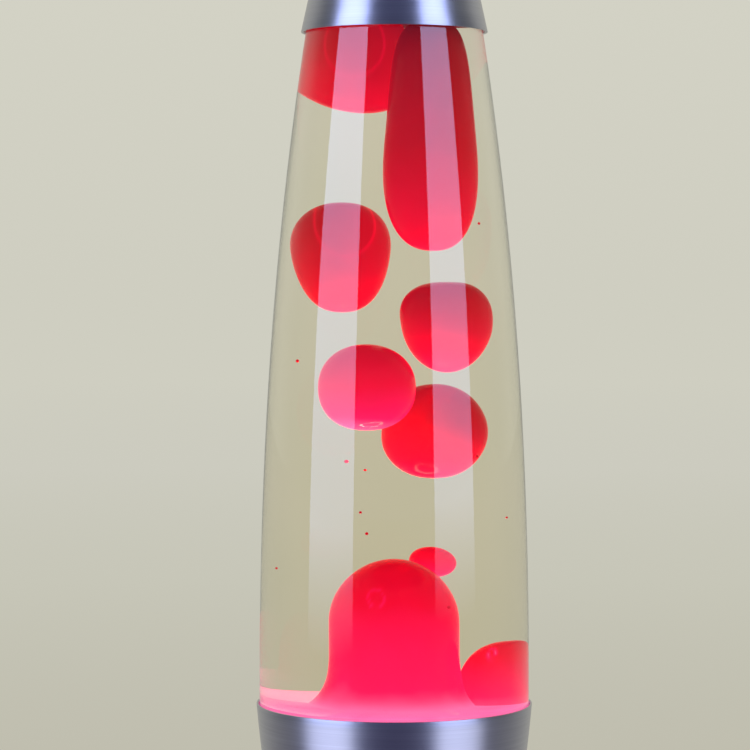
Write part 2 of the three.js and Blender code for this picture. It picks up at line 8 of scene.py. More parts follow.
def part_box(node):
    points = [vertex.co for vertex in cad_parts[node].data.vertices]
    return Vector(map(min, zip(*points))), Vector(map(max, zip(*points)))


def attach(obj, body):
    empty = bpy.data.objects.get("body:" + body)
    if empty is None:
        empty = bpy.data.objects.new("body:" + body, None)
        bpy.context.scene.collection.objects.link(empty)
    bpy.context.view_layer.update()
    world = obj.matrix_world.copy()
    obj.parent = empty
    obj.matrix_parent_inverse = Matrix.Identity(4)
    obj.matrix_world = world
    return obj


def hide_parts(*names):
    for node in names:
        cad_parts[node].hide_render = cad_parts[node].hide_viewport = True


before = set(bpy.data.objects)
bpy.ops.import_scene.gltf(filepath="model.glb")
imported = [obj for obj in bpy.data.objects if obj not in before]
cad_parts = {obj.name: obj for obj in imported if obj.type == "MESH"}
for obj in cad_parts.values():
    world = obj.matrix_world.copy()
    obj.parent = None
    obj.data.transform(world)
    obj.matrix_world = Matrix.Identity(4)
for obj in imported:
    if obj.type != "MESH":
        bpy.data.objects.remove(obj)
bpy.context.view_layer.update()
mm = 0.001

# ---- Camera: a long lens on a stand in front of the lamp ----
# It stands a little above the middle of the globe and looks slightly down at it.
stand_off = 0.855
lens_height = 0.233
aim_height = 0.206
aside = -0.00576  # the lamp is not quite in the middle of the view
camera = bpy.data.objects.new("camera", bpy.data.cameras.new("camera"))
camera.data.sensor_width = 36
camera.data.lens = 137.4
camera.location = (aside, -stand_off, lens_height)
camera.rotation_euler = (math.pi / 2 - math.atan((lens_height - aim_height) / stand_off), 0, 0)
bpy.context.scene.collection.objects.link(camera)
bpy.context.scene.camera = camera
bpy.context.scene.view_settings.view_transform = "Standard"


# ---- Base cup: spun aluminium sheet, brushed while it turned in the lathe and clear anodised ----
# A cone that narrows to the waist, where a flange turns in to carry the bracket. Its rim holds the globe.
def linear(colour):
    """An sRGB hex colour as linear RGBA."""
    parts = [int(colour[n:n + 2], 16) / 255 for n in (0, 2, 4)]
    return (*[p / 12.92 if p <= 0.04045 else ((p + 0.055) / 1.055) ** 2.4 for p in parts], 1)


def add(tree, kind, inputs=None, stops=None, **settings):
    """Adds a node. A socket in inputs is given a value, or linked to another node's output."""
    node = tree.nodes.new(kind)
    for name, value in settings.items():
        setattr(node, name, value)
    fill(node, inputs or {})
    for n, (place, colour) in enumerate(stops or []):
        stop = node.color_ramp.elements[n] if n < 2 else node.color_ramp.elements.new(place)
        stop.position = place
        stop.color = colour
    return node


def fill(node, inputs):
    for socket, value in inputs.items():
        if isinstance(value, bpy.types.NodeSocket):
            node.id_data.links.new(value, node.inputs[socket])
        else:
            node.inputs[socket].default_value = value


def new_finish(name, **sockets):
    """A material with its Principled shader, whose sockets are given by name with _ for spaces."""
    finish = bpy.data.materials.new(name)
    finish.use_nodes = True
    shader = finish.node_tree.nodes["Principled BSDF"]
    fill(shader, {socket.replace("_", " "): value for socket, value in sockets.items()})
    return finish, finish.node_tree, shader


def grey(value):
    return (value, value, value, 1)


def brushed_aluminium():
    """Fine lines run round the piece, so a light smears into a band along its height.
    The lines are about 0.5 mm apart and 50 mm long, a little coarser than real ones so that they show."""
    finish, tree, shader = new_finish(
        "brushed aluminium, clear anodised", Metallic=1.0, Roughness=0.34, Anisotropic=0.8)
    place = add(tree, "ShaderNodeTexCoord").outputs["Object"]
    parts = add(tree, "ShaderNodeSeparateXYZ", {0: place}).outputs
    flat = add(tree, "ShaderNodeCombineXYZ", {0: parts[0], 1: parts[1]}).outputs[0]
    radius = add(tree, "ShaderNodeVectorMath", {0: flat}, operation="LENGTH").outputs["Value"]
    outward = add(tree, "ShaderNodeVectorMath", {0: flat}, operation="NORMALIZE").outputs[0]
    along = add(tree, "ShaderNodeVectorMath", {0: outward, 1: (0, 0, 1)}, operation="ADD").outputs[0]
    fill(shader, {"Tangent": along})
    across = add(tree, "ShaderNodeMath", {0: parts[2], 1: radius}, operation="ADD").outputs[0]
    line_place = add(tree, "ShaderNodeCombineXYZ", {
        0: add(tree, "ShaderNodeMath", {0: parts[0], 1: 0.5 / 50}, operation="MULTIPLY").outputs[0],
        1: add(tree, "ShaderNodeMath", {0: parts[1], 1: 0.5 / 50}, operation="MULTIPLY").outputs[0],
        2: across}).outputs[0]
    lines = add(tree, "ShaderNodeTexNoise", {"Vector": line_place, "Scale": 1 / (0.5 * mm), "Detail": 3.0,
                                            "Roughness": 0.65}).outputs["Fac"]
    clouds = add(tree, "ShaderNodeTexNoise", {
        "Vector": place, "Scale": 1 / (18 * mm), "Detail": 2.0}).outputs["Fac"]
    colour = add(tree, "ShaderNodeValToRGB", {"Fac": lines},
                 stops=[(0.25, linear("bfc0cb")), (0.75, linear("d0d1db"))]).outputs["Color"]
    rough = add(tree, "ShaderNodeMath", {
        0: add(tree, "ShaderNodeMapRange", {"Value": lines, "To Min": 0.32, "To Max": 0.42}).outputs[0],
        1: add(tree, "ShaderNodeMapRange", {"Value": clouds, "To Min": -0.03, "To Max": 0.03}).outputs[0],
    }, operation="ADD").outputs[0]
    relief = add(tree, "ShaderNodeBump", {"Height": lines, "Strength": 0.25, "Distance": 0.01 * mm})
    fill(shader, {"Base Color": colour, "Roughness": rough, "Normal": relief.outputs[0]})
    return finish


def spun(line, sides=128):
    """Spins a line of (radius, height) round the lamp's axis. A line off the axis closes on itself."""
    form = bmesh.new()
    corners = [form.verts.new((radius, 0, height)) for radius, height in line]
    edges = [form.edges.new(pair) for pair in zip(corners, corners[1:])]
    if line[0][0] > 0:
        edges.append(form.edges.new((corners[-1], corners[0])))
    bmesh.ops.spin(form, geom=corners + edges, cent=(0, 0, 0), axis=(0, 0, 1), dvec=(0, 0, 0),
                   angle=2 * math.pi, steps=sides, use_merge=True)
    bmesh.ops.remove_doubles(form, verts=form.verts[:], dist=0.001 * mm)
    bmesh.ops.recalc_face_normals(form, faces=form.faces[:])
    return form


def soften(form, width, segments=2, angle=0.6):
    """Rounds every corner sharper than the angle."""
    edges = [edge for edge in form.edges if edge.is_manifold and edge.calc_face_angle() > angle]
    bmesh.ops.bevel(
        form, geom=edges, offset=width, segments=segments, profile=0.5, affect="EDGES", material=-1)
    return form


def made(name, form, finishes, sharp=40):
    """Turns a bmesh into an object with smooth shading, kept sharp at its corners."""
    mesh = bpy.data.meshes.new(name)
    form.to_mesh(mesh)
    form.free()
    for finish in finishes:
        mesh.materials.append(finish)
    mesh.shade_smooth()
    mesh.set_sharp_from_angle(angle=math.radians(sharp))
    piece = bpy.data.objects.new(name, mesh)
    bpy.context.scene.collection.objects.link(piece)
    return piece


def fit(piece, body, slot, *nodes):
    """The piece moves with the body and stands for these nodes."""
    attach(piece, body)
    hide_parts(*nodes)
    return piece


def steps(start, end, count):
    return [start + (end - start) * n / count for n in range(count + 1)]


aluminium = brushed_aluminium()
sheet = 0.6 * mm
sheet_edge = 0.15 * mm
rim_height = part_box("base_cup")[1].z
rim_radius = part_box("base_cup")[1].x
waist_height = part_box("base_cup")[0].z
bulb_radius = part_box("bulb_glass")[1].x
waist_ledge = 14 * mm
bulb_room = 3.5 * mm
waist_radius = bulb_radius + waist_ledge
flange_opening = bulb_radius + bulb_room
rim_taper = 0.0875
cup_height = rim_height - waist_height
rim_bow = (rim_radius - rim_taper * cup_height - waist_radius) / cup_height ** 2


def cup_radius(height):
    below = rim_height - height
    return rim_radius - rim_taper * below - rim_bow * below ** 2


cup_line = [(flange_opening, waist_height)]
cup_line += [(cup_radius(height), height) for height in steps(waist_height, rim_height, 24)]
cup_line += [(cup_radius(height) - sheet, height) for height in steps(rim_height, waist_height + sheet, 24)]
cup_line += [(flange_opening, waist_height + sheet)]
cup = made("spun_cup", soften(spun(cup_line), sheet_edge), [aluminium])
fit(cup, "base", "brushed_aluminium", "base_cup")


# ---- Base foot: the same brushed sheet, flared to the table, with its flange screwed under the cup's ----
# The cord's inlet is drilled through its back, square to the sloping wall.
foot_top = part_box("base_foot")[1].z
foot_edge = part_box("base_foot")[0].z
foot_reach = 48 * mm  # the flare aims for this at the table, and the sheet ends a little above it
foot_spread = foot_reach - waist_radius
foot_flare = 1.3
inlet_height = 12 * mm
inlet_hole = 4.3 * mm


def foot_radius(height):
    return waist_radius + foot_spread * ((waist_height - height) / waist_height) ** foot_flare


def drilled(piece, radius, place):
    """Cuts a round hole through the piece, along the Z axis of the given place."""
    drill = bmesh.new()
    bmesh.ops.create_cone(
        drill, cap_ends=True, segments=48, radius1=radius, radius2=radius, depth=12 * mm, matrix=place)
    tool = made("drill", drill, [])
    cutter = piece.modifiers.new("hole", "BOOLEAN")
    cutter.operation = "DIFFERENCE"
    cutter.solver = "EXACT"
    cutter.object = tool
    seen = piece.evaluated_get(bpy.context.evaluated_depsgraph_get())
    mesh = bpy.data.meshes.new_from_object(seen)
    piece.modifiers.clear()
    piece.data = mesh
    bpy.data.objects.remove(tool)
    return piece


foot_line = [(flange_opening, foot_top)]
foot_line += [(foot_radius(height), height) for height in steps(foot_top, foot_edge, 24)]
foot_line += [(foot_radius(height) - sheet, height) for height in steps(foot_edge, foot_top - sheet, 24)]
foot_line += [(flange_opening, foot_top - sheet)]
foot = made("spun_foot", soften(spun(foot_line), sheet_edge), [aluminium])
slope = (foot_radius(inlet_height - 2 * mm) - foot_radius(inlet_height + 2 * mm)) / (4 * mm)
at_inlet = Matrix.Translation((0, foot_radius(inlet_height) - sheet / 2, inlet_height)) @ Matrix.Rotation(
    math.atan(slope) - math.pi / 2, 4, "X")
fit(drilled(foot, inlet_hole, at_inlet), "base", "brushed_aluminium", "base_foot")


# ---- Cord grommet: a moulded rubber ring pressed into the inlet, whose groove holds the sheet's edge ----
# It keeps the cord off the drilled edge. The cord itself is left out.
def black_rubber():
    """Soft black rubber from a fine-spark mould: matt, with grain of about 0.4 mm."""
    finish, tree, shader = new_finish("black rubber, fine mould grain", Roughness=0.7)
    place = add(tree, "ShaderNodeTexCoord").outputs["Object"]
    grain = add(tree, "ShaderNodeTexNoise", {
        "Vector": place, "Scale": 1 / (0.4 * mm), "Detail": 2.0}).outputs["Fac"]
    colour = add(tree, "ShaderNodeValToRGB", {"Fac": grain},
                 stops=[(0.3, linear("1b1b1c")), (0.7, linear("29292a"))]).outputs["Color"]
    relief = add(tree, "ShaderNodeBump", {"Height": grain, "Strength": 0.3, "Distance": 0.05 * mm})
    fill(shader, {"Base Color": colour, "Normal": relief.outputs[0]})
    return finish


rubber = black_rubber()
lip = 5.9 * mm
groove = 4 * mm
bore = 2.6 * mm
groove_half = sheet / 2 + 0.3 * mm + lip ** 2 / (2 * foot_radius(inlet_height))
grommet_line = [
    (bore, -groove_half - 1.6 * mm), (lip - 0.8 * mm, -groove_half - 1.6 * mm), (lip, -groove_half),
    (groove, -groove_half), (groove, groove_half), (lip, groove_half),
    (lip - 1 * mm, groove_half + 2 * mm), (bore, groove_half + 2 * mm)]
grommet = soften(spun(grommet_line, 48), 0.35 * mm, 3)
bmesh.ops.transform(grommet, matrix=at_inlet, verts=grommet.verts[:])
fit(made("inlet_grommet", grommet, [rubber]), "base", "black_rubber", "cord_grommet")


# ---- Bracket, its screws and its nuts: pressed steel strap and turned screws, bright zinc plated ----
# The strap hangs from the flanges at the waist, carries the lamp holder and takes the cover's screws.
def zinc_steel():
    """Zinc plate on pressed steel: bluish grey with soft crystal patches of about 3 mm."""
    finish, tree, shader = new_finish("pressed steel, bright zinc plated", Metallic=1.0)
    place = add(tree, "ShaderNodeTexCoord").outputs["Object"]
    patches = add(tree, "ShaderNodeTexVoronoi", {
        "Vector": place, "Scale": 1 / (3 * mm)}).outputs["Distance"]
    colour = add(tree, "ShaderNodeValToRGB", {"Fac": patches},
                 stops=[(0.1, linear("aeb2b6")), (0.8, linear("c3c5c6"))]).outputs["Color"]
    rough = add(tree, "ShaderNodeMapRange", {"Value": patches, "To Min": 0.28, "To Max": 0.45}).outputs[0]
    fill(shader, {"Base Color": colour, "Roughness": rough})
    return finish


def refinish(finish, *nodes):
    """Gives CAD pieces that keep their shape their real finish."""
    for name in nodes:
        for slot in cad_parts[name].material_slots:
            slot.material = finish


zinc = zinc_steel()
fastener_kinds = ("bracket_screw", "bracket_nut", "cover_screw", "holder_screw")
fasteners = [f"{kind}_{n}" for kind in fastener_kinds for n in (1, 2)]
refinish(zinc, "holder_bracket", *fasteners)


# ---- Lamp holder: glazed porcelain body with a drawn brass screw socket and a sprung brass contact ----
# Two screws hold it on the bracket. The socket takes the bulb's screw cap, and the contact meets its tip.
def glazed_porcelain():
    """White electrical porcelain under a clear glaze, with a faint cloudiness of about 8 mm."""
    finish, tree, shader = new_finish(
        "porcelain, clear glazed", Roughness=0.25, Coat_Weight=0.6, Coat_Roughness=0.08, IOR=1.5)
    place = add(tree, "ShaderNodeTexCoord").outputs["Object"]
    clouds = add(tree, "ShaderNodeTexNoise", {
        "Vector": place, "Scale": 1 / (8 * mm), "Detail": 3.0}).outputs["Fac"]
    colour = add(tree, "ShaderNodeValToRGB", {"Fac": clouds},
                 stops=[(0.3, linear("e2ddd0")), (0.7, linear("f0ede4"))]).outputs["Color"]
    fill(shader, {"Base Color": colour})
    return finish


def drawn_brass():
    """Yellow brass as drawn and rolled, lightly tarnished in patches of about 4 mm."""
    finish, tree, shader = new_finish("brass, drawn and slightly tarnished", Metallic=1.0)
    place = add(tree, "ShaderNodeTexCoord").outputs["Object"]
    tarnish = add(tree, "ShaderNodeTexNoise", {
        "Vector": place, "Scale": 1 / (4 * mm), "Detail": 4.0}).outputs["Fac"]
    colour = add(tree, "ShaderNodeValToRGB", {"Fac": tarnish},
                 stops=[(0.3, linear("b08d4a")), (0.7, linear("d9b76c"))]).outputs["Color"]
    rough = add(tree, "ShaderNodeMapRange", {"Value": tarnish, "To Min": 0.42, "To Max": 0.24}).outputs[0]
    fill(shader, {"Base Color": colour, "Roughness": rough})
    return finish


brass = drawn_brass()
refinish(glazed_porcelain(), "lamp_holder_body")
refinish(brass, "lamp_holder_socket", "lamp_holder_contact")


# ---- Bottom cover: a black moulded disc with vents and two screw bosses, on four rubber feet ----
# It closes the foot from below and is held by two screws. Each rubber foot is pressed in by its stem.
def black_plastic():
    """Black moulded plastic with a spark-eroded grain of about 0.8 mm."""
    finish, tree, shader = new_finish("black polypropylene, spark grain", IOR=1.49)
    place = add(tree, "ShaderNodeTexCoord").outputs["Object"]
    grain = add(tree, "ShaderNodeTexNoise", {
        "Vector": place, "Scale": 1 / (0.8 * mm), "Detail": 2.0}).outputs["Fac"]
    colour = add(tree, "ShaderNodeValToRGB", {"Fac": grain},
                 stops=[(0.3, linear("1d1d1f")), (0.7, linear("262628"))]).outputs["Color"]
    rough = add(tree, "ShaderNodeMapRange", {"Value": grain, "To Min": 0.5, "To Max": 0.64}).outputs[0]
    relief = add(tree, "ShaderNodeBump", {"Height": grain, "Strength": 0.35, "Distance": 0.06 * mm})
    fill(shader, {"Base Color": colour, "Roughness": rough, "Normal": relief.outputs[0]})
    return finish


plastic = black_plastic()
refinish(plastic, "bottom_cover")
for n in range(1, 5):
    low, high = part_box(f"rubber_foot_{n}")
    middle = (low + high) / 2
    pad = high.x - middle.x
    stem = 1.8 * mm
    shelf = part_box("bottom_cover")[0].z - 0.3 * mm
    pad_line = [
        (0, 0), (pad - 0.9 * mm, 0), (pad - 0.25 * mm, 0.25 * mm), (pad, 0.9 * mm), (pad - 0.4 * mm, shelf),
        (stem, shelf), (stem, high.z - 0.5 * mm), (stem - 0.5 * mm, high.z), (0, high.z)]
    pad_form = soften(spun(pad_line, 48), 0.15 * mm)
    bmesh.ops.translate(pad_form, vec=(middle.x, middle.y, 0), verts=pad_form.verts[:])
    fit(made(f"foot_pad_{n}", pad_form, [rubber]), "base", "black_rubber", f"rubber_foot_{n}")


# ---- Bulb: blown clear glass on a brass screw cap, with a black glass insulator and a wire mount ----
# The bulb lights the globe from below and its warmth melts the wax.
def bulb_envelope():
    """Clear soda-lime glass, thin and even."""
    finish, tree, shader = new_finish(
        "soda-lime glass, blown thin", Roughness=0.0, IOR=1.5, Transmission_Weight=1.0)
    place = add(tree, "ShaderNodeTexCoord").outputs["Object"]
    waves = add(tree, "ShaderNodeTexNoise", {
        "Vector": place, "Scale": 1 / (9 * mm), "Detail": 1.0}).outputs["Fac"]
    colour = add(tree, "ShaderNodeValToRGB", {"Fac": waves},
                 stops=[(0.3, linear("fafcfa")), (0.7, linear("ffffff"))]).outputs["Color"]
    relief = add(tree, "ShaderNodeBump", {"Height": waves, "Strength": 0.1, "Distance": 0.2 * mm})
    fill(shader, {"Base Color": colour, "Normal": relief.outputs[0]})
    return finish


def hot_tungsten():
    """Coiled tungsten wire, white hot in the middle and duller at its cold ends."""
    finish, tree, shader = new_finish("tungsten wire, glowing", Metallic=1.0, Roughness=0.5)
    parts = add(tree, "ShaderNodeSeparateXYZ", {
        0: add(tree, "ShaderNodeTexCoord").outputs["Object"]}).outputs
    reach = add(tree, "ShaderNodeMath", {0: parts[0]}, operation="ABSOLUTE").outputs[0]
    heat = add(tree, "ShaderNodeMapRange", {
        "Value": reach, "From Max": 5.6 * mm, "To Min": 1.0, "To Max": 0.0})
    colour = add(tree, "ShaderNodeValToRGB", {"Fac": heat.outputs[0]},
                 stops=[(0.0, linear("c05a20")), (0.3, linear("ffdca8"))]).outputs["Color"]
    fill(shader, {"Base Color": linear("6f6a64"), "Emission Color": colour, "Emission Strength": 3.0})
    return finish


def black_glass():
    """Fused black glass round the tip contact, with flow streaks of about 2 mm."""
    finish, tree, shader = new_finish("black glass, fused", Roughness=0.15, IOR=1.52)
    place = add(tree, "ShaderNodeTexCoord").outputs["Object"]
    streaks = add(tree, "ShaderNodeTexNoise", {
        "Vector": place, "Scale": 1 / (2 * mm), "Detail": 2.0}).outputs["Fac"]
    colour = add(tree, "ShaderNodeValToRGB", {"Fac": streaks},
                 stops=[(0.3, linear("121214")), (0.7, linear("242428"))]).outputs["Color"]
    fill(shader, {"Base Color": colour})
    return finish


envelope = bulb_envelope()
bulb_low, bulb_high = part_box("bulb_glass")
ball = bulb_high.x
ball_middle = bulb_high.z - ball
bulb_wall = 0.7 * mm
bulb_neck = 7.7 * mm
neck_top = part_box("bulb_screw_cap")[1].z + 1 * mm
leaves = -0.95  # where the ball gives way to the neck, in radians below its middle


def bulb_line(depth):
    round_part = [((ball - depth) * math.cos(a), ball_middle + (ball - depth) * math.sin(a))
                  for a in steps(leaves, math.pi / 2, 24)]
    start = Vector((bulb_neck - depth, neck_top))
    end = Vector(round_part[0])
    bend = [tuple(start.lerp(Vector((start.x, start.y + 2.5 * mm)), t).lerp(
        Vector((end.x - 2.4 * mm, end.y - 1.8 * mm)).lerp(end, t), t)) for t in steps(0, 1, 8)]
    top = (0, ball_middle + ball - depth)
    return [(bulb_neck - depth, bulb_low.z)] + bend[:-1] + round_part[:-1] + [top]


bulb_form = spun(bulb_line(0)[::-1] + bulb_line(bulb_wall), 96)
fit(made("blown_bulb", bulb_form, [envelope]), "bulb", "bulb_glass", "bulb_glass")
refinish(brass, "bulb_screw_cap", "bulb_tip_contact")
refinish(black_glass(), "bulb_insulator")
refinish(envelope, "bulb_mount")
refinish(zinc, "bulb_lead_wire_1", "bulb_lead_wire_2")
refinish(hot_tungsten(), "bulb_filament")


# ---- Globe: a blown glass bottle, near straight below and drawn in to a neck under the cap ----
# It sits in the base cup, whose narrowing wall carries it. The liquid wets its inner face, which hardly
# reflects.
def bottle_glass(name, outside, inside):
    """Clear bottle glass. Its blown wall swells and thins a little, over 30 mm or so.
    Its shine is given for each side of the face, as a wetted side hardly reflects."""
    finish, tree, shader = new_finish(
        name, Roughness=0.0, IOR=1.5, Transmission_Weight=1.0, Specular_Tint=grey(outside))
    if inside != outside:
        within = add(tree, "ShaderNodeNewGeometry").outputs["Backfacing"]
        shine = add(tree, "ShaderNodeMapRange", {
            "Value": within, "To Min": outside, "To Max": inside}).outputs[0]
        fill(shader, {"Specular Tint": shine})
    place = add(tree, "ShaderNodeTexCoord").outputs["Object"]
    waves = add(tree, "ShaderNodeTexNoise", {
        "Vector": place, "Scale": 1 / (30 * mm), "Detail": 1.0}).outputs["Fac"]
    colour = add(tree, "ShaderNodeValToRGB", {"Fac": waves},
                 stops=[(0.3, linear("fdfefd")), (0.7, linear("ffffff"))]).outputs["Color"]
    relief = add(tree, "ShaderNodeBump", {"Height": waves, "Strength": 0.15, "Distance": 0.3 * mm})
    fill(shader, {"Base Color": colour, "Normal": relief.outputs[0]})
    return finish


globe_low, globe_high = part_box("globe_glass")
cap_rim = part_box("top_cap")[0].z
cap_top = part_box("top_cap")[1].z
cap_rim_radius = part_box("top_cap")[1].x
cap_top_radius = 14.6 * mm
cap_taper = (cap_rim_radius - cap_top_radius) / (cap_top - cap_rim)
cap_wall = 0.8 * mm
clearance = 0.3 * mm
glass_wall = 2.2 * mm
column_height = cap_rim - rim_height
column_foot = rim_radius - sheet - clearance
column_neck = 26.4 * mm
narrowing = 2.2  # near straight at its foot, and quicker towards the neck
cap_rest = 8 * mm
bottle_neck = 12.6 * mm
neck_bottom = globe_high.z - 13 * mm


def column_radius(height):
    return column_foot - (column_foot - column_neck) * ((height - rim_height) / column_height) ** narrowing


def globe_line(depth):
    """The bottle's wall from the middle of its floor to its neck, set in by the given depth."""
    floor = globe_low.z + depth
    corner = globe_low.z + 5 * mm
    inside = [(cup_radius(z) - sheet - clearance - depth, z) for z in steps(corner, rim_height, 6)]
    column = [(column_radius(z) - depth, z) for z in steps(rim_height, cap_rim, 48)[1:]]
    start = cap_rim_radius - cap_taper * cap_rest - cap_wall - clearance - depth
    a, b, c, d = [Vector(p) for p in (
        (start, cap_rim + cap_rest), (start - 1.6 * mm, cap_rim + 16 * mm),
        (bottle_neck - depth, cap_rim + 14 * mm), (bottle_neck - depth, neck_bottom))]
    shoulder = [tuple(a * (1 - t) ** 3 + 3 * b * t * (1 - t) ** 2 + 3 * c * t ** 2 * (1 - t) + d * t ** 3)
                for t in steps(0, 1, 16)]
    punt = [
        (0, floor + 2 * mm), (14 * mm, floor + 1.85 * mm), (25 * mm, floor + 1.4 * mm), (31 * mm, floor)]
    heel = [(inside[0][0] - 1.5 * mm, floor + (1 * mm if depth else 0.8 * mm))]
    return punt + heel + inside + column + shoulder


bead = bottle_neck + 0.9 * mm
finish_line = [
    (bottle_neck, globe_high.z - 5 * mm), (bead, globe_high.z - 4 * mm), (bead, globe_high.z - 1 * mm),
    (bead - 0.8 * mm, globe_high.z), (bottle_neck - glass_wall + 0.4 * mm, globe_high.z),
    (bottle_neck - glass_wall, globe_high.z - 0.6 * mm)]
outer_glass = bottle_glass("bottle glass, blown", 2.1, 0.15)
wet_glass = bottle_glass("bottle glass, wetted inside", 0.0, 0.0)
globe_form = spun(globe_line(0) + finish_line + globe_line(glass_wall)[::-1], 160)
globe_middle = Vector((0, 0, (globe_low.z + globe_high.z) / 2))
for face in globe_form.faces:
    if face.normal.dot(face.calc_center_median() - globe_middle) < 0:
        face.material_index = 1
fit(made("blown_globe", globe_form, [outer_glass, wet_glass], 60), "globe", "globe_glass", "globe_glass")


# ---- Bottle closure and liner: a crimped tinplate cap over a pressed liner, hidden under the top cap ----
# The closure's skirt is fluted where it is crimped under the bead of the neck, and the liner seals it.
def tinplate():
    """Lacquered tinplate with rolling marks about 1 mm apart."""
    finish, tree, shader = new_finish(
        "tinplate, clear lacquered", Metallic=1.0, Coat_Weight=0.3, Coat_Roughness=0.1)
    place = add(tree, "ShaderNodeTexCoord").outputs["Object"]
    stretch = add(tree, "ShaderNodeMapping", {"Vector": place, "Scale": (1, 0.05, 1)}).outputs[0]
    marks = add(tree, "ShaderNodeTexNoise", {
        "Vector": stretch, "Scale": 1 / (1 * mm), "Detail": 3.0}).outputs["Fac"]
    colour = add(tree, "ShaderNodeValToRGB", {"Fac": marks},
                 stops=[(0.3, linear("b4b2ac")), (0.7, linear("cfcdc6"))]).outputs["Color"]
    rough = add(tree, "ShaderNodeMapRange", {"Value": marks, "To Min": 0.25, "To Max": 0.4}).outputs[0]
    fill(shader, {"Base Color": colour, "Roughness": rough})
    return finish


def liner_plastic():
    """Off-white soft plastic liner with a faint mottle of about 3 mm."""
    finish, tree, shader = new_finish("soft PVC liner", Roughness=0.6)
    place = add(tree, "ShaderNodeTexCoord").outputs["Object"]
    mottle = add(tree, "ShaderNodeTexNoise", {
        "Vector": place, "Scale": 1 / (3 * mm), "Detail": 2.0}).outputs["Fac"]
    colour = add(tree, "ShaderNodeValToRGB", {"Fac": mottle},
                 stops=[(0.3, linear("d3d3ca")), (0.7, linear("e0e0d8"))]).outputs["Color"]
    fill(shader, {"Base Color": colour})
    return finish


closure_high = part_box("bottle_closure")[1]
closure_bore = bead + clearance
closure_under = globe_high.z + 1.4 * mm
skirt = globe_high.z - 5 * mm
flutes = 21
flute_depth = 0.035  # as a share of the skirt's radius
closure_line = [
    (0, closure_under), (closure_bore, closure_under), (closure_bore, skirt + 0.4 * mm),
    (closure_bore + 1.6 * mm, skirt), (closure_bore + 1.7 * mm, skirt + 0.6 * mm),
    (closure_bore + 0.6 * mm, skirt + 1.4 * mm), (closure_bore + 0.6 * mm, closure_under),
    (closure_bore - 0.6 * mm, closure_high.z), (0, closure_high.z)]
closure_form = spun(closure_line, flutes * 6)
for vertex in closure_form.verts:
    if vertex.co.z < skirt + 1 * mm and vertex.co.xy.length > closure_bore + 1.2 * mm:
        turn = math.atan2(vertex.co.y, vertex.co.x)
        vertex.co.xy *= 1 - flute_depth * (0.5 - 0.5 * math.cos(flutes * turn))
fit(made("crimped_closure", closure_form, [tinplate()]), "globe", "closure_metal", "bottle_closure")
refinish(liner_plastic(), "closure_liner")


# ---- Heat coil: a stainless spring bent into a ring on the globe's floor, sunk in the wax pool ----
# It carries the bulb's warmth into the wax, and the masses that sink back run together on it.
def spring_wire():
    """Drawn stainless spring wire: bright, with die lines about 0.1 mm wide."""
    finish, tree, shader = new_finish("stainless spring wire, drawn", Metallic=1.0)
    place = add(tree, "ShaderNodeTexCoord").outputs["Object"]
    lines = add(tree, "ShaderNodeTexNoise", {
        "Vector": place, "Scale": 1 / (0.6 * mm), "Detail": 2.0}).outputs["Fac"]
    colour = add(tree, "ShaderNodeValToRGB", {"Fac": lines},
                 stops=[(0.3, linear("a5a4a0")), (0.7, linear("c9c8c4"))]).outputs["Color"]
    rough = add(tree, "ShaderNodeMapRange", {"Value": lines, "To Min": 0.2, "To Max": 0.35}).outputs[0]
    fill(shader, {"Base Color": colour, "Roughness": rough})
    return finish


refinish(spring_wire(), "wax_coil")


# ---- Wax: paraffin dyed red through and through, molten and lit from below by the bulb ----
# Each mass is deep crimson where little light reaches it, and hot pink where the bulb's light comes in.
# The light that scatters inside the wax is painted onto it as a glow of its own, and as painted shade in
# its base colour.
def red_wax():
    """The glow attribute is a painted level of light, from 0, dark, to 1, full of light from below. It sets
    the painted glow of the emission and the painted shade of the base colour.
    """
    finish, tree, shader = new_finish(
        "paraffin wax, dyed red and molten, painted glow", Roughness=0.05, IOR=1.44, Specular_IOR_Level=0.05,
        Emission_Strength=1.0)
    place = add(tree, "ShaderNodeTexCoord").outputs["Object"]
    glow = add(tree, "ShaderNodeAttribute", attribute_name="glow").outputs["Fac"]
    clouds = add(tree, "ShaderNodeTexNoise", {
        "Vector": place, "Scale": 1 / (14 * mm), "Detail": 2.0}).outputs["Fac"]
    drift = add(tree, "ShaderNodeMapRange", {"Value": clouds, "To Min": -0.06, "To Max": 0.06}).outputs[0]
    level = add(tree, "ShaderNodeMath", {0: glow, 1: drift}, operation="ADD", use_clamp=True).outputs[0]
    # Base colour with painted shade: deeper crimson where the painted light is low.
    dye_with_painted_shade = add(tree, "ShaderNodeValToRGB", {"Fac": level}, stops=[
        (0.0, linear("a40004")), (1.0, linear("dc0028")), (0.5, linear("c80010"))]).outputs["Color"]
    # Painted glow: the emission runs from dark red to hot pink as the painted light rises.
    light = add(tree, "ShaderNodeValToRGB", {"Fac": level}, stops=[
        (0.0, linear("500006")), (1.0, linear("ff78b8")), (0.3, linear("b00016")), (0.55, linear("e60030")),
        (0.8, linear("f81860"))]).outputs["Color"]
    fill(shader, {"Base Color": dye_with_painted_shade, "Emission Color": light})
    return finish


wax = red_wax()
pool_floor, pool_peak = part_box("wax_pool")
pool_top = rim_height + 0.5 * mm
mound_widest = rim_height + 25 * mm
mound_girth = 14.2 * mm
mound_flare = 4.6 * mm
wax_gap = 0.2 * mm  # between the pool and the glass
pool_low = globe_low.z + 5 * mm


def lit(piece, glow):
    """Stores a painted level of light for each point of the wax, from a rule on its place and its normal.
    """
    shade = piece.data.attributes.new("glow", "FLOAT", "POINT")
    for vertex, value in zip(piece.data.vertices, shade.data):
        value.value = min(1, max(0, glow(vertex.co, vertex.normal)))
    return piece


def pool_radius(height):
    return cup_radius(height) - sheet - clearance - glass_wall - wax_gap


def stalk_radius(height):
    """The mound's stalk is near straight, and flares where it meets the pool."""
    down = (mound_widest - height) / (mound_widest - pool_top)
    return mound_girth + mound_flare * down ** 5


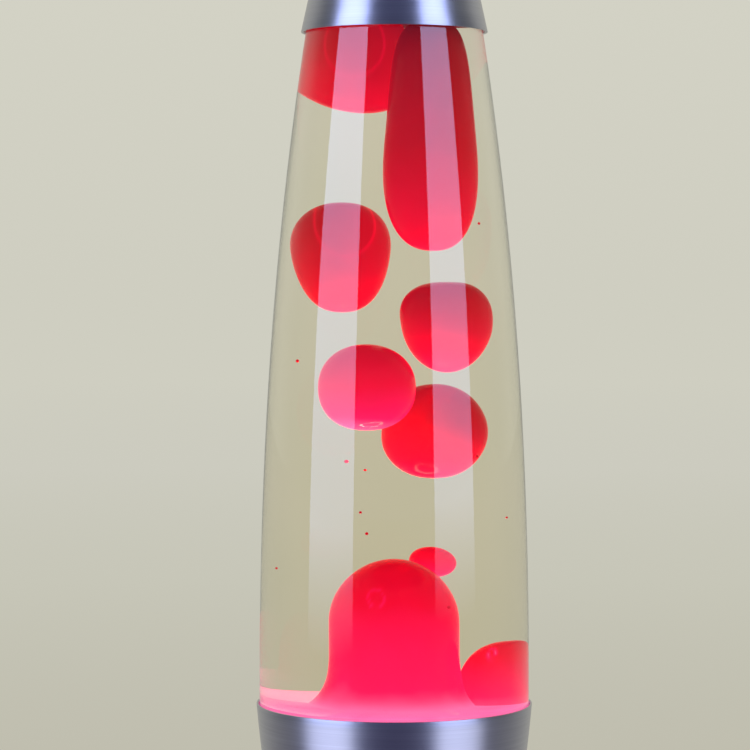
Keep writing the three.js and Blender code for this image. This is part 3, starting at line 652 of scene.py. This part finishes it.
dome_rise = pool_peak.z - mound_widest
dome = [(mound_girth * math.cos(a), mound_widest + dome_rise * math.sin(a))
        for a in steps(0, math.pi / 2, 24)]
stalk = [(stalk_radius(z), z) for z in steps(pool_top, mound_widest, 24)]
wall_line = [(pool_radius(z), z) for z in steps(pool_low, pool_top, 12)]
pool_under = pool_floor.z + 0.4 * mm
pool_line = [(0, pool_under), (pool_radius(pool_low) - 1.9 * mm, pool_under)]
pool_line += wall_line + stalk + dome[1:-1] + [(0, pool_peak.z)]
pool_form = spun(pool_line, 128)
unevenness = 0.03
for vertex in pool_form.verts:
    if vertex.co.z > pool_top + 1 * mm:
        turn = math.atan2(vertex.co.y, vertex.co.x)
        rise = (vertex.co.z - pool_top) / (pool_peak.z - pool_top)
        vertex.co.xy *= 1 + unevenness * math.sin(2 * turn + 4 * rise) * rise
pool = made("wax_pool_and_mound", pool_form, [wax], 70)

lump_form = bmesh.new()
bmesh.ops.create_icosphere(lump_form, subdivisions=5, radius=1)
lump_top = rim_height + 18.5 * mm
lump_power = 2.5  # squares its top, which lies flat under the liquid
lump_half = Vector((12 * mm, 9 * mm, lump_top - pool_top))
lump_place = Vector((25.2 * mm, 4 * mm, pool_top))
for vertex in lump_form.verts:
    level = abs(vertex.co.z)
    ring = max(0.0, 1 - level ** 2) ** 0.5
    vertex.co *= (ring ** lump_power + level ** lump_power) ** (-1 / lump_power)
    vertex.co.z = max(vertex.co.z, -0.3)
bmesh.ops.scale(lump_form, vec=lump_half, verts=lump_form.verts[:])
bmesh.ops.translate(lump_form, vec=lump_place, verts=lump_form.verts[:])
lump = made("wax_lump", lump_form, [wax], 70)


def bubble_light(place, normal, bubble):
    """A bubble of clear liquid caught under the front of the wax is painted as a thin bright ring in the
    wax's glow, on faces that look to the front. It is given as (x, height, radius, gain), and is narrower
    than it is tall, as the round globe widens what is in it."""
    globe_widens = 1.36
    across, height, radius, gain = bubble
    away = math.hypot((place.x - across) * globe_widens, place.z - height)
    line = 0.35 * mm
    return gain * math.exp(-((away - radius) / line) ** 2) if normal.y < 0 else 0


# Painted light on the pool and mound: brightest at the mound's foot and on faces that look down, dimmer up
# the mound, with a painted bubble ring.
def pool_glow(place, normal):
    up = max(0, (place.z - pool_top) / (pool_peak.z - pool_top))
    light = 0.82 - 0.4 * up ** 1.6 + 0.26 * math.exp(-up / 0.06) - 0.1 * normal.z
    return light + bubble_light(place, normal, (-4.4 * mm, rim_height + 33 * mm, 2.6 * mm, 0.2))


# Painted light on the lump: darker towards its top and lighter on faces that look down, with a painted
# bubble ring.
def lump_glow(place, normal):
    up = (place.z - pool_top) / (lump_top - pool_top)
    light = 0.86 - 0.35 * max(0, up) - 0.1 * normal.z
    return light + bubble_light(place, normal, (22.2 * mm, rim_height + 15.4 * mm, 1.4 * mm, 0.4))


fit(lit(pool, pool_glow), "globe", "red_wax", "wax_pool")
fit(lit(lump, lump_glow), "globe", "red_wax", "wax_pool")


def wax_mass(node, body, glow, up=2.0, down=2.0, egg=0.0, wider=1.0, lower=0.0, tilt=0.0, deep=1.0,
             swells=(), bubbles=()):
    """A free mass about its CAD node's box, let down by lower. A power above 2 squares its upper or lower
    half, egg widens its top, tilt drops its right side, wider scales its girth and deep its depth from
    front to back. Each swell is (direction, height, share, spread), and glow is the painted light at its
    (bottom, top)."""
    low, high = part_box(node)
    middle = (low + high) / 2 - Vector((0, 0, lower))
    half = (high - low) / 2
    form = bmesh.new()
    bmesh.ops.create_icosphere(form, subdivisions=6, radius=1)
    for vertex in form.verts:
        at = vertex.co.copy()
        power = up if at.z > 0 else down
        level = abs(at.z)
        ring = max(0.0, 1 - level ** 2) ** 0.5
        girth = 1 + egg * at.z
        for turn, height, share, spread in swells:
            bump = Vector((math.cos(math.radians(turn)), math.sin(math.radians(turn)), height)).normalized()
            girth += share * math.exp(-(at - bump).length_squared / spread ** 2)
        square = (ring ** power + level ** power) ** (-1 / power)
        vertex.co.xy = at.xy * girth * square
        vertex.co.z = at.z * square - tilt * vertex.co.x
    reach = max(vertex.co.x for vertex in form.verts) / wider
    bmesh.ops.scale(form, vec=(half.x / reach, half.y / reach * deep, half.z), verts=form.verts[:])
    bmesh.ops.translate(form, vec=middle, verts=form.verts[:])
    bottom, top = glow

    # Painted light: brightest at the bottom of the mass, dimmer at its top and on faces that look up, with
    # painted bubble rings.
    def light_at(place, normal):
        share = (place.z + lower - low.z) / (high.z - low.z)
        light = top + (bottom - top) * max(0, 1 - share) ** 1.3 - 0.08 * normal.z
        return light + sum(bubble_light(place, normal, bubble) for bubble in bubbles)

    piece = lit(made(node + "_molten", form, [wax], 180), light_at)
    return fit(piece, body, "red_wax", node)


wax_mass("wax_mass_top", "top_wax", (0.42, 0.24), up=4, down=2.2, wider=1.12, lower=1.9 * mm,
         tilt=0.22, deep=0.9,
         swells=[(-20, -1.2, 0.12, 0.7), (170, -0.5, 0.05, 0.5)],
         bubbles=[(-9.5 * mm, rim_height + 195 * mm, 9.8 * mm, 0.16)])
wax_mass("wax_drop_long", "long_wax", (0.52, 0.1), up=4.2, down=2.4, egg=-0.2, lower=1.8 * mm, deep=0.92,
         swells=[(200, -0.6, 0.03, 0.6)])
wax_mass("wax_blob_left", "left_wax", (0.44, 0.26), up=2.3, down=2.4, egg=0.12, lower=1.6 * mm,
         swells=[(180, 0.3, 0.05, 0.6), (0, 0.35, 0.04, 0.6), (190, -0.5, -0.04, 0.4)],
         bubbles=[(-10.8 * mm, rim_height + 141.5 * mm, 9 * mm, 0.2)])
wax_mass("wax_blob_right", "right_wax", (0.66, 0.2), up=2.8, egg=0.06, lower=1 * mm,
         swells=[(180, 0.5, 0.07, 0.5), (0, 0.1, 0.05, 0.5), (20, 1.4, -0.05, 0.35)])
wax_mass("wax_blob_middle", "middle_wax", (0.84, 0.38), up=2.1, down=2.2)
wax_mass("wax_blob_low", "low_wax", (0.62, 0.18), up=2.1, down=2.3, lower=0.9 * mm,
         swells=[(180, -0.3, 0.06, 0.6), (0, -0.1, 0.05, 0.5)])
wax_mass("wax_bead", "small_wax", (0.8, 0.5), lower=0.9 * mm, tilt=0.12)

# Specks of wax a millimetre across or less hang in the liquid: (x, y, height over the rim, radius) in mm.
specks = bmesh.new()
for x, y, height, radius in [
        (-10.2, 4, 72, 0.5), (-6.2, 4, 69.5, 0.35), (20.4, -12, 74.3, 0.5), (20.8, -8, 142.4, 0.4),
        (-23.5, -6, 102, 0.5), (-8.6, -18, 58.5, 0.4), (-7.1, -20, 52.5, 0.45), (13.5, -16, 30.7, 0.5),
        (-26, 4, 40, 0.35), (24, 6, 55, 0.3)]:
    bmesh.ops.create_icosphere(specks, subdivisions=2, radius=radius * mm,
                               matrix=Matrix.Translation((x * mm, y * mm, rim_height + height * mm)))
# The specks get an even painted glow.
speck_glow = 0.35
speck_piece = lit(made("wax_specks", specks, [wax]), lambda place, normal: speck_glow)
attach(speck_piece, "globe")


# ---- Clear liquid: a straw-tinted water mixture that fills the globe to just under its neck ----
# It lies against the glass and the wax, so it shows only by its tint and its level surface.
def tinted_liquid():
    """Water with glycol and a trace of yellow: the globe's width of it takes over a quarter of the blue."""
    finish, tree, shader = new_finish(
        "water and glycol, straw tint", Base_Color=grey(1), Roughness=0.0, IOR=1.36,
        Transmission_Weight=1.0, Specular_Tint=grey(0))
    tint = add(tree, "ShaderNodeVolumeAbsorption", {"Color": (0.975, 0.875, 0.57, 1), "Density": 10.0})
    output = tree.nodes["Material Output"]
    fill(output, {"Volume": tint.outputs[0]})
    return finish


wet = 0.15 * mm  # the liquid's skin lies this far inside the glass, so that no air shows between
liquid_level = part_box("clear_liquid")[1].z
liquid_line = [(r, z) for r, z in globe_line(glass_wall - wet) if z < liquid_level]
edge = min(globe_line(glass_wall), key=lambda point: (
    abs(point[1] - liquid_level) + (0 if point[0] > bottle_neck else 1)))
liquid_line += [(edge[0], liquid_level), (0, liquid_level)]
liquid = made("liquid_fill", spun(liquid_line, 160), [tinted_liquid()])
fit(liquid, "globe", "clear_liquid", "clear_liquid")


# ---- Top cap: one spun aluminium cone with a closed top, brushed like the base ----
# It rests on the globe's shoulder by its own taper, and lifts off.
crease = 1.6 * mm
inset = cap_wall * math.hypot(1, cap_taper)


def cap_radius(height):
    return cap_rim_radius - cap_taper * (height - cap_rim)


cap_bend = [(cap_top_radius - crease + crease * math.sin(a), cap_top - crease + crease * math.cos(a))
            for a in steps(0, math.pi / 2 - cap_taper, 8)]
cap_side = [(cap_radius(z), z) for z in steps(cap_bend[-1][1], cap_rim, 12)[1:]]
cap_inner = [(cap_radius(z) - inset, z) for z in steps(cap_rim, cap_top - crease, 12)]
cap_line = [(0, cap_top)] + cap_bend + cap_side + cap_inner
cap_line += [(cap_top_radius - crease, cap_top - cap_wall), (0, cap_top - cap_wall)]
cap = made("spun_cap", soften(spun(cap_line), 0.12 * mm), [aluminium])
fit(cap, "cap", "brushed_aluminium", "top_cap")


# ---- Room: a pale floor that fades to the colour of a pale wall, and two tall soft lights in front ----
# The lights stand outside the view, and show in the glass and the cap as upright bright bands. The cup's
# walls look down, so their bands are painted reflections, painted on the floor for mirror rays only.
def pale_floor():
    """Matt pale paper under the lamp, which gives way to an even sweep of the wall's colour further off.
    To mirror rays alone it shows a painted reflection of a table with a soft sheen: dark in front, with
    painted streaks of the lights near the lamp and a painted shade of the room beyond."""
    finish, tree, shader = new_finish("pale paper floor, painted reflections", Roughness=0.9, Specular_IOR_Level=0.2)
    place = add(tree, "ShaderNodeTexCoord").outputs["Object"]
    away = add(tree, "ShaderNodeVectorMath", {0: place}, operation="LENGTH").outputs["Value"]
    far = add(tree, "ShaderNodeMapRange", {"Value": away, "From Min": 0.3, "From Max": 0.55}).outputs[0]
    sweep = add(tree, "ShaderNodeMapRange", {"Value": away, "From Min": 0.6, "From Max": 6.0}).outputs[0]
    shade = add(tree, "ShaderNodeValToRGB", {"Fac": sweep}, stops=[
        (0.0, linear("c0beaf")), (1.0, linear("cfcec1")),
        (0.15, linear("c7c6b8")), (0.4, linear("cccbbf"))])
    glow = add(tree, "ShaderNodeEmission", {"Color": shade.outputs["Color"]})
    fill(shader, {"Base Color": linear("cccabd")})
    paper = add(tree, "ShaderNodeMixShader", {0: far, 1: shader.outputs[0], 2: glow.outputs[0]})
    way = add(tree, "ShaderNodeVectorMath", {0: place}, operation="NORMALIZE").outputs[0]
    back = add(tree, "ShaderNodeSeparateXYZ", {0: way}).outputs[1]
    round_lamp = add(tree, "ShaderNodeMapRange", {
        "Value": back, "From Min": -1.0, "From Max": 1.0}).outputs[0]
    # Painted reflections, seen only by mirror rays: bright streaks of the lights near the lamp and a dim
    # room further off.
    streaks = add(tree, "ShaderNodeValToRGB", {"Fac": round_lamp}, stops=[
        (0.0, linear("38354c")), (1.0, linear("8c8b84")), (0.07, linear("3b3950")),
        (0.11, linear("e4e6f6")), (0.34, linear("e0e2f6")), (0.42, linear("54535f"))])
    painted_dim_room = add(tree, "ShaderNodeValToRGB", {"Fac": round_lamp}, stops=[
        (0.0, linear("36344a")), (1.0, linear("b9b8ac")), (0.4, linear("5a5a64")), (0.7, linear("6c6c70"))])
    near = add(tree, "ShaderNodeMapRange", {
        "Value": away, "From Min": 0.32, "From Max": 0.6, "To Min": 1.0, "To Max": 0.0}).outputs[0]
    painted_streak_reflection = add(tree, "ShaderNodeEmission", {
        "Color": streaks.outputs["Color"], "Strength": 1.7}).outputs[0]
    painted_far_reflection = add(tree, "ShaderNodeEmission", {"Color": painted_dim_room.outputs["Color"]}).outputs[0]
    painted_reflections = add(tree, "ShaderNodeMixShader", {0: near, 1: painted_far_reflection, 2: painted_streak_reflection})
    ray = add(tree, "ShaderNodeLightPath").outputs
    mirrored = add(tree, "ShaderNodeMath", {
        0: ray["Is Glossy Ray"], 1: ray["Is Reflection Ray"]}, operation="MULTIPLY").outputs[0]
    both = add(tree, "ShaderNodeMixShader", {0: mirrored, 1: paper.outputs[0], 2: painted_reflections.outputs[0]})
    fill(tree.nodes["Material Output"], {"Surface": both.outputs[0]})
    return finish


floor_radius = 12
floor_form = bmesh.new()
bmesh.ops.create_circle(floor_form, cap_ends=True, segments=128, radius=floor_radius)
floor = made("floor", floor_form, [pale_floor()])

room = bpy.data.worlds.new("room")
bpy.context.scene.world = room
room.use_nodes = True
sky = room.node_tree
direction = add(sky, "ShaderNodeTexCoord").outputs["Generated"]
facing = add(sky, "ShaderNodeSeparateXYZ", {0: direction}).outputs
wall_shade = add(sky, "ShaderNodeMapRange", {
    "Value": facing[2], "From Min": 0.0, "From Max": 0.1}).outputs[0]
wall = add(sky, "ShaderNodeValToRGB", {"Fac": wall_shade}, stops=[
    (0.0, linear("cfcec1")), (1.0, linear("d3d2c5"))]).outputs["Color"]
level_way = add(sky, "ShaderNodeVectorMath", {0: direction, 1: (1, 1, 0)}, operation="MULTIPLY").outputs[0]
level_unit = add(sky, "ShaderNodeVectorMath", {0: level_way}, operation="NORMALIZE").outputs[0]
behind = add(sky, "ShaderNodeSeparateXYZ", {0: level_unit}).outputs[1]
# Painted reflection of the room, which only mirror rays see.
painted_room_reflection = add(sky, "ShaderNodeValToRGB", {"Fac": add(sky, "ShaderNodeMapRange", {
    "Value": behind, "From Min": -1.0, "From Max": 1.0}).outputs[0]}, stops=[
    (0.0, linear("4b5072")), (1.0, linear("bcbbaf")), (0.1, linear("4a506e")), (0.3, linear("50545f")),
    (0.45, linear("565a5e")), (0.64, linear("6e7072")), (0.8, linear("b0b0aa"))]).outputs["Color"]
# Metal and glass mirror a painted reflection of a darker room than the camera sees, dim and bluish in front
# and paler at the back.
ray = add(sky, "ShaderNodeLightPath").outputs
mirrored = add(sky, "ShaderNodeMath", {
    0: ray["Is Glossy Ray"], 1: ray["Is Reflection Ray"]}, operation="MULTIPLY")
seen_room = add(sky, "ShaderNodeMix", {
    0: mirrored.outputs[0], 6: wall, 7: painted_room_reflection}, data_type="RGBA").outputs[2]
fill(sky.nodes["Background"], {"Color": seen_room, "Strength": 1.0})


def tall_light(name, turn, width, height, radiance, foot):
    """A softbox on the table, turned to the lamp. Turn is in degrees to the right of the camera, foot is
    the dark share at its foot, and it brightens from there to its top."""
    reach = 1.1
    top_gain = 2.6
    light = bpy.data.lights.new(name, "AREA")
    light.shape = "RECTANGLE"
    light.size = width
    light.size_y = height
    light.energy = radiance * math.pi * width * height
    light.color = (0.7, 0.82, 1.4)
    light.use_nodes = True
    cloth = light.node_tree
    across = add(cloth, "ShaderNodeSeparateXYZ", {
        0: add(cloth, "ShaderNodeNewGeometry").outputs["Parametric"]})
    rise = add(cloth, "ShaderNodeMapRange", {
        "Value": across.outputs[1], "From Min": foot, "From Max": foot + 0.1})
    grow = add(cloth, "ShaderNodeMapRange", {"Value": across.outputs[1], "To Min": 1.0, "To Max": top_gain})
    level = add(cloth, "ShaderNodeMath", {0: rise.outputs[0], 1: grow.outputs[0]}, operation="MULTIPLY")
    fill(cloth.nodes["Emission"], {"Strength": level.outputs[0]})
    box = bpy.data.objects.new(name, light)
    angle = math.radians(turn)
    away = Vector((math.sin(angle), -math.cos(angle), 0))
    box.location = away * reach + Vector((0, 0, height / 2))
    box.rotation_mode = "QUATERNION"
    box.rotation_quaternion = away.to_track_quat("Z", "Y")
    box.visible_camera = False
    box.visible_transmission = False
    bpy.context.scene.collection.objects.link(box)


tall_light("left_softbox", turn=-56, width=0.84, height=1.3, radiance=1.4, foot=0.0)
tall_light("right_softbox", turn=52.5, width=0.74, height=1.3, radiance=1.35, foot=0.03)

# The bulb's light comes up round the mound as a ring, and glints on the undersides of the wax above it.
uplight = bpy.data.objects.new("bulb_light", bpy.data.lights.new("bulb_light", "AREA"))
uplight.data.shape = "DISK"
uplight.data.size = 1.85 * mound_girth
uplight_radiance = 170
uplight.data.spread = math.radians(110)
uplight.data.energy = uplight_radiance * (math.pi * uplight.data.size / 2) ** 2
uplight.data.color = (1, 0.72, 0.55)
uplight.data.use_nodes = True
halo = uplight.data.node_tree
spot = add(halo, "ShaderNodeNewGeometry").outputs["Parametric"]
spot = add(halo, "ShaderNodeVectorMath", {0: spot, 1: (0.5, 0.5, 0)}, operation="SUBTRACT").outputs[0]
spot = add(halo, "ShaderNodeVectorMath", {0: spot, 1: (1, 1, 0)}, operation="MULTIPLY").outputs[0]
spot = add(halo, "ShaderNodeVectorMath", {0: spot}, operation="LENGTH").outputs["Value"]
ring = add(halo, "ShaderNodeMapRange", {"Value": spot, "From Min": 0.38, "From Max": 0.42}).outputs[0]
fill(halo.nodes["Emission"], {"Strength": ring})
uplight.location = (0, 0, pool_peak.z + 1 * mm)
uplight.rotation_euler = (math.pi, 0, 0)
uplight.visible_camera = False
uplight.visible_transmission = False
bpy.context.scene.collection.objects.link(uplight)
